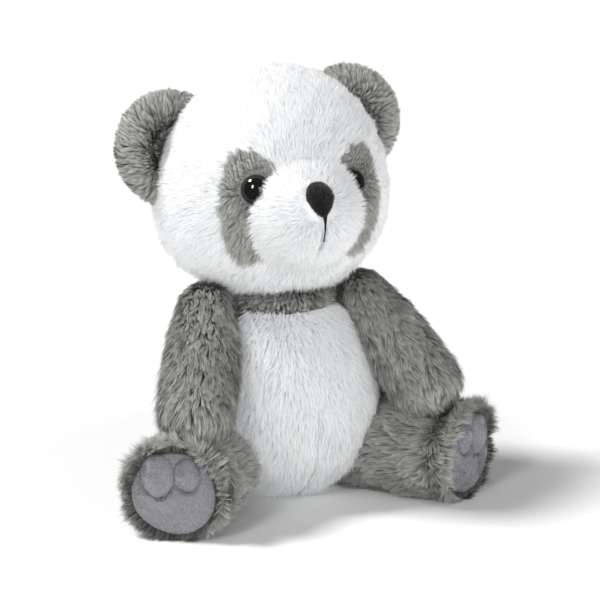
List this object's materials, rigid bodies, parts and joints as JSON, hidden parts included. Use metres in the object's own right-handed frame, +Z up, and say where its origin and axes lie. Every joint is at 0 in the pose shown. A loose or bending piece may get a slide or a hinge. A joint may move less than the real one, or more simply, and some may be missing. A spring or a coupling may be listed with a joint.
{
  "type": "plush panda",
  "caption": "Seated plush panda with turning head, folding ears, raising arms, spreading legs and a bean-weighted seat.",
  "frame": {"origin": "on the floor, under the middle of the trunk, at the centre of the flat seat base", "axes": "+Z up, the toy faces -Y, its own left is +X"},
  "size_m": [0.1976, 0.1517, 0.227],
  "materials": {
    "white_plush": "long soft pile, matte",
    "grey_plush": "long soft pile, matte",
    "pad_velour": "short brushed pile, matte",
    "eye_plastic": "polished",
    "washer_plastic": "moulded",
    "black_thread": "satin embroidery thread",
    "seam_thread": "twisted polyester thread",
    "polyester_fill": "loose fibre",
    "plastic_beans": "moulded",
    "bag_cloth": "plain weave",
    "label_ribbon": "satin ribbon, blank"
  },
  "bodies": {
    "head": {"left_face_panel": "white_plush", "right_face_panel": "white_plush", "left_head_back_panel": "white_plush", "right_head_back_panel": "white_plush", "muzzle_panel": "white_plush", "left_eye_patch": "grey_plush", "right_eye_patch": "grey_plush", "left_eye": "eye_plastic", "right_eye": "eye_plastic", "left_eye_washer": "washer_plastic", "right_eye_washer": "washer_plastic", "nose_embroidery": "black_thread", "mouth_stitch": "black_thread", "head_stuffing": "polyester_fill"},
    "left_ear": {"left_ear_front_cover": "grey_plush", "left_ear_back_cover": "grey_plush"},
    "right_ear": {"right_ear_front_cover": "grey_plush", "right_ear_back_cover": "grey_plush"},
    "neck": {"neck_stuffing": "polyester_fill", "neck_seam_thread": "seam_thread"},
    "trunk": {"belly_panel": "white_plush", "left_back_panel": "grey_plush", "right_back_panel": "grey_plush", "collar_panel": "grey_plush", "seat_base_panel": "grey_plush", "body_stuffing": "polyester_fill", "bean_bag_upper": "bag_cloth", "bean_bag_lower": "bag_cloth", "bean_bag_pellets": "plastic_beans", "care_label": "label_ribbon"},
    "tail": {"tail_left_panel": "grey_plush", "tail_right_panel": "grey_plush", "tail_stuffing": "polyester_fill"},
    "left_arm": {"left_arm_outer_panel": "grey_plush", "left_arm_inner_panel": "grey_plush", "left_arm_stuffing": "polyester_fill"},
    "left_leg": {"left_leg_outer_panel": "grey_plush", "left_leg_inner_panel": "grey_plush", "left_leg_stuffing": "polyester_fill", "left_sole_pad": "pad_velour", "left_outer_toe_pad": "pad_velour", "left_inner_toe_pad": "pad_velour"},
    "right_arm": {"right_arm_outer_panel": "grey_plush", "right_arm_inner_panel": "grey_plush", "right_arm_stuffing": "polyester_fill"},
    "right_leg": {"right_leg_outer_panel": "grey_plush", "right_leg_inner_panel": "grey_plush", "right_leg_stuffing": "polyester_fill", "right_sole_pad": "pad_velour", "right_outer_toe_pad": "pad_velour", "right_inner_toe_pad": "pad_velour"}
  },
  "joints": [
    {"name": "head_turn", "type": "hinge", "parent": "trunk", "child": "neck", "pos_m": [0, 0, 0.106], "axis": [0, 0, 1], "range_deg": [-25, 25], "stiffness_Nm_per_rad": 0.15},
    {"name": "head_nod", "type": "hinge", "parent": "neck", "child": "head", "pos_m": [0, 0, 0.106], "axis": [1, 0, 0], "range_deg": [-10, 10], "stiffness_Nm_per_rad": 0.3},
    {"name": "left_arm_raise", "type": "hinge", "parent": "trunk", "child": "left_arm", "pos_m": [0.0443, -0.012, 0.104], "axis": [-0.8821, -0.4711, 0], "range_deg": [0, 60]},
    {"name": "left_leg_spread", "type": "hinge", "parent": "trunk", "child": "left_leg", "pos_m": [0.044, -0.02, 0.0242], "axis": [0, 0, 1], "range_deg": [-4, 25]},
    {"name": "left_ear_fold", "type": "hinge", "parent": "head", "child": "left_ear", "pos_m": [0.04936, 0.016, 0.1955], "axis": [-0.4951, 0.1392, 0.8576], "range_deg": [-20, 20], "stiffness_Nm_per_rad": 0.02},
    {"name": "right_arm_raise", "type": "hinge", "parent": "trunk", "child": "right_arm", "pos_m": [-0.0443, -0.012, 0.104], "axis": [-0.8821, 0.4711, 0], "range_deg": [0, 60]},
    {"name": "right_leg_spread", "type": "hinge", "parent": "trunk", "child": "right_leg", "pos_m": [-0.044, -0.02, 0.0242], "axis": [0, 0, -1], "range_deg": [-4, 25]},
    {"name": "right_ear_fold", "type": "hinge", "parent": "head", "child": "right_ear", "pos_m": [-0.05389, 0.016, 0.18556], "axis": [-0.3224, -0.1392, -0.9363], "range_deg": [-20, 20], "stiffness_Nm_per_rad": 0.02},
    {"name": "tail_wag", "type": "hinge", "parent": "trunk", "child": "tail", "pos_m": [0, 0.052, 0.022], "axis": [0, 0, 1], "range_deg": [-20, 20], "stiffness_Nm_per_rad": 0.02}
  ]
}
